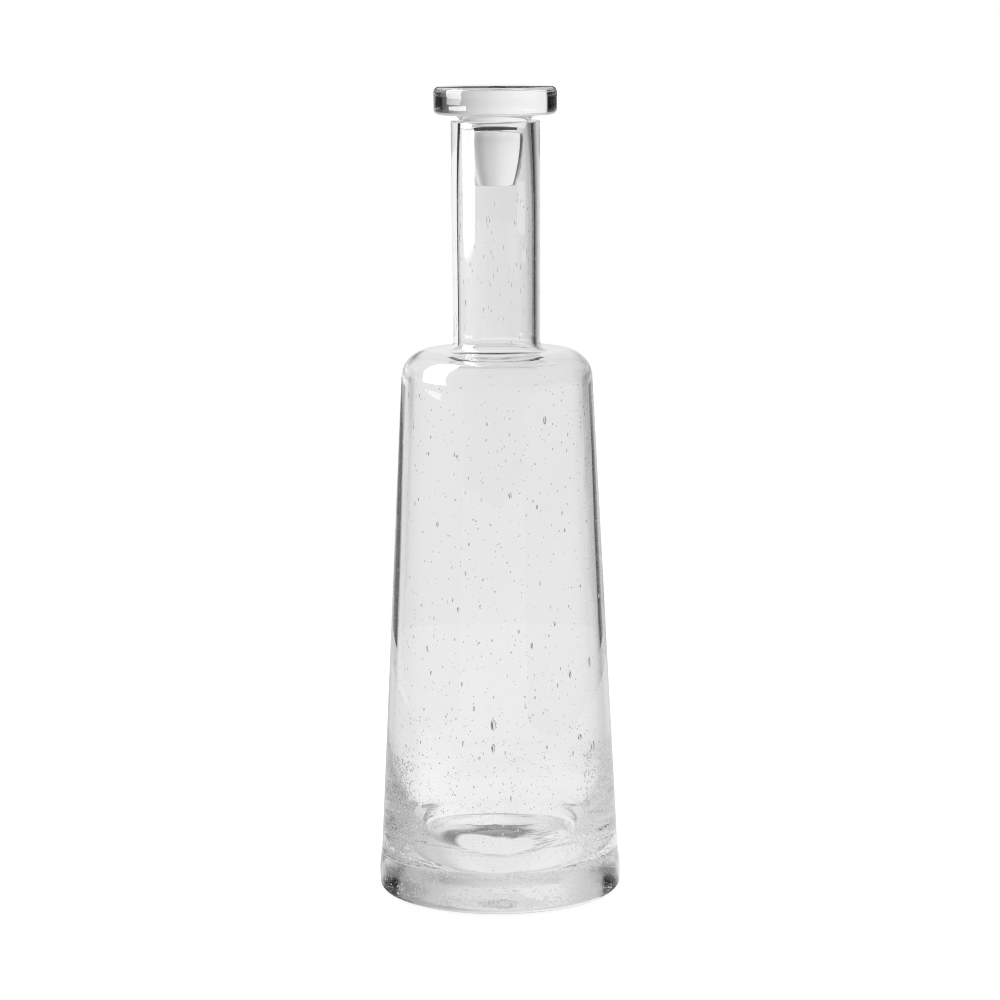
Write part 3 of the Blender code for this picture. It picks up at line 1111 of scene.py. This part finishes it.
# What light that has bounced about inside a wall of the glass shows
inside_neck = brightness_round(
    turn,
    (-180, 0.45), (-150, 0.5), (-120, 0.8), (-60, 0.75), (-57, 0), (-43.5, 0), (-42, 0.95),
    (-25, 0.97), (-12, 0.95), (-2, 0.9), (4, 0.84), (10, 0.77), (15, 0.72), (20, 0.63), (25, 0.54),
    (29, 0.42), (33, 0.3), (38, 0.2), (43, 0.03), (45, 0), (58, 0), (66, 0.3), (76, 0.7),
    (100, 0.7), (140, 0.7), (156, 0.5), (180, 0.45),
)
inside_body = brightness_round(
    leaning(*INSIDE_BODY_CARD),
    (-180, 0.84), (-66, 0.8), (-50, 0.75), (-38, 0.75), (-34, 0.45), (-32, 0.08), (-30.5, 0),
    (-10, 0), (-8, 0.1), (-4, 0.6), (0, 0.85), (5, 0.75), (14, 0.6), (19, 0.44), (22, 0.2),
    (24, 0.02), (25, 0), (34, 0), (37, 0.3), (42, 0.5), (54, 0.66), (66, 0.75), (90, 0.95),
    (180, 0.84),
)
inside_foot = brightness_round(
    turn,
    (-180, 0.5), (-80, 0.75), (-74, 0.3), (-68, 0.12), (-63, 0), (-49, 0), (-47.5, 0.1), (-45, 0.4),
    (-40, 0.52), (-30, 0.6), (-24, 0.68), (-18, 0.66), (-8, 0.73), (5, 0.68), (12, 0.5), (18, 0.4),
    (24, 0.42), (33, 0.36), (38, 0.3), (42, 0.32), (46, 0.08), (48, 0), (62, 0), (68, 0.12),
    (72, 0.35), (76, 0.75), (180, 0.5),
)
inside_lower = brightness_round(
    turn,
    (-180, 0.6), (-80, 0.7), (-70, 0.15), (-62, 0.1), (-50, 0.15), (-42, 0.35), (-38, 0.4),
    (-30, 0.62), (-18, 0.82), (-6, 0.76), (6, 0.66), (18, 0.56), (30, 0.56), (40, 0.4), (46, 0.18),
    (60, 0.18), (70, 0.4), (80, 0.7), (180, 0.6),
)
inside_middle = brightness_round(
    turn,
    (-180, 0.8), (-78, 0.64), (-54, 0.56), (-42, 0.72), (-30, 0.8), (-18, 0.84), (-6, 0.83),
    (6, 0.74), (18, 0.68), (30, 0.62), (42, 0.66), (60, 0.66), (78, 0.75), (102, 0.9), (180, 0.8),
)
inside_above = brightness_round(
    turn,
    (-180, 0.7), (-140, 0.62), (-114, 0.86), (-78, 0.68), (-54, 0.7), (-30, 0.86), (-6, 0.85),
    (18, 0.8), (42, 0.74), (90, 0.9), (130, 0.75), (180, 0.7),
)
inside_high = brightness_round(
    turn,
    (-180, 0.2), (-160, 0.05), (-146, 0.3), (-135, 0.55), (-113, 0.9), (-60, 0.8), (-30, 0.72),
    (-6, 0.82), (6, 0.95), (24, 0.95), (60, 0.8), (90, 0.57), (114, 0.4), (138, 0.15), (160, 0.03),
    (180, 0.2),
)
inside_low = brightness_round(
    turn,
    (-180, 0.8), (-72, 0.75), (-60, 0.3), (-48, 0.4), (-30, 0.78), (-18, 0.84), (-6, 0.74),
    (6, 0.56), (18, 0.46), (30, 0.68), (42, 0.6), (54, 0.4), (72, 0.75), (180, 0.8),
)
far_round = share_of(sum_of("ABSOLUTE", turn), *NECK_BACK)
neck_back = sum_of("MULTIPLY", far_round, share_of(tilt, *NECK_BACK_TILTS))
bounced = by_tilt(
    between(neck_back, inside_neck, NECK_BACK_LEVEL),
    (-6.6, -7.2, inside_body),
    (-12.8, -14.2, inside_low),
    (7, 9, inside_foot),
    (15, 17.5, inside_lower),
    (19, 22, inside_middle),
    (26, 34, inside_above),
    (49, 53, inside_high),
    (74, 77, OVERHEAD_LEVEL),
)

# What light long trapped in the glass shows, from above and from low down
trapped_high = brightness_round(
    turn,
    (-180, 0.55), (-150, 0.6), (-110, 0.78), (-30, 0.76), (0, 0.72), (20, 0.65), (36, 0.5),
    (56, 0.5), (68, 0.25), (84, 0.15), (98, 0.2), (114, 0.5), (150, 0.6), (180, 0.55),
)
trapped_low = brightness_round(
    turn,
    (-180, 0.25), (-110, 0.25), (-70, 0.6), (-40, 0.76), (40, 0.76), (60, 0.6), (100, 0.2),
    (180, 0.25),
)
trapped = between(share_of(tilt, *LOW_TILTS), trapped_high, trapped_low)
bounced = between(sum_of("GREATER_THAN", bounces, MIRRORED_OFTEN), bounced, trapped)

# What shows straight through: both walls of the bottle, the solid head and foot, the plug, and froth
through_walls = brightness_round(
    turn,
    (-180, 0.9), (-60, 0.92), (-40, 0.88), (-30, 0.84), (-18, 0.83), (-6, 0.85), (5, 0.84),
    (9, 0.77), (14, 0.69), (18, 0.62), (24, 0.5), (27, 0.15), (30, 0), (37, 0), (42, 0.6),
    (60, 0.8), (180, 0.9),
)
through_neck = brightness_round(
    turn,
    (-180, 0.9), (-60, 0.9), (-26, 0.93), (-12, 0.94), (-7, 0.88), (-2, 0.81), (6, 0.75),
    (12, 0.64), (18, 0.52), (22, 0.27), (26, 0.06), (30, 0), (37, 0), (42, 0.6), (60, 0.8),
    (180, 0.9),
)
through_head = brightness_round(
    turn,
    (-180, 0.92), (-90, 0.92), (-84, 0.7), (-78, 0.02), (-74, 0), (-46, 0), (-44.5, 0.7),
    (-43, 0.93), (-25, 0.97), (-12, 0.92), (-7, 0.88), (-2, 0.84), (2, 0.79), (7, 0.72), (12, 0.66),
    (17, 0.59), (22, 0.5), (28, 0.38), (33, 0.27), (38, 0.13), (46, 0.08), (49, 0), (66, 0),
    (68.5, 0.12), (74, 0.45), (80, 0.9), (180, 0.92),
)
through_plug = brightness_round(
    turn,
    (-180, 0.8), (-75, 0.6), (-58, 0.5), (-53, 0.02), (-43, 0), (-41, 0.9), (-38, 0.97),
    (-27, 0.97), (-18, 0.93), (-10, 0.88), (-4, 0.8), (2, 0.7), (6, 0.66), (12, 0.58), (18, 0.46),
    (23, 0.42), (27, 0.5), (31, 0.6), (36, 0.85), (46, 0.85), (54, 0.6), (180, 0.8),
)
through_froth = brightness_round(
    turn,
    (-180, 0.9), (-110, 0.6), (-85, 0), (-14, 0), (-6, 0.75), (0, 0.92), (60, 0.95), (180, 0.9),
)
through_mouth = brightness_round(
    turn,
    (-180, 0.9), (-20, 0.9), (-14, 0.8), (-10, 0.3), (-2, 0.1), (8, 0.06), (13, 0.1), (17, 0.7),
    (28, 0.92), (180, 0.9),
)
through_root = brightness_round(
    turn,
    (-180, 0.85), (-24, 0.85), (-16, 0.3), (-10, 0.02), (0, 0.05), (8, 0.4), (16, 0.85),
    (180, 0.85),
)
straight = by_tilt(
    through_neck,
    (-7.3, -7.9, through_walls),
    (-14.2, -15.5, through_root),
    (18, 20, through_mouth),
)
plug_or_froth = between(sum_of("GREATER_THAN", tilt, LOWEST_PLUG_TILT), through_froth, through_plug)
straight = between(sum_of("COMPARE", crossings, *ONE_SOLID), straight, through_head)
straight = between(sum_of("GREATER_THAN", crossings, THROUGH_MANY), straight, plug_or_froth)

# The glass sees the level of its kind of light, and everything else sees plain white
has_bounced = sum_of("GREATER_THAN", bounces, MIRRORED)
has_entered = sum_of("GREATER_THAN", crossings, ENTERED)
in_glass = between(has_bounced, straight, bounced)
seen_by_glass = between(has_entered, mirrored, in_glass)
is_glass_ray = sum_of("MAXIMUM", has_bounced, has_entered)
wall_level = between(is_glass_ray, 1.0, seen_by_glass)
studio_light = wall.node("Background")
wall.feed(wall_level, studio_light.inputs["Color"])
wall.feed(studio_light.outputs["Background"], wall.node("OutputWorld").inputs["Surface"])
world.cycles.sampling_method = "NONE"

MOST_BOUNCES = 48
PIXEL_SOFTNESS = 1.0
scene = bpy.context.scene
scene.view_settings.view_transform = "Standard"
scene.cycles.max_bounces = MOST_BOUNCES
scene.cycles.glossy_bounces = MOST_BOUNCES
scene.cycles.transmission_bounces = MOST_BOUNCES
scene.cycles.filter_width = PIXEL_SOFTNESS

bpy.context.view_layer.update()
low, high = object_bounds()
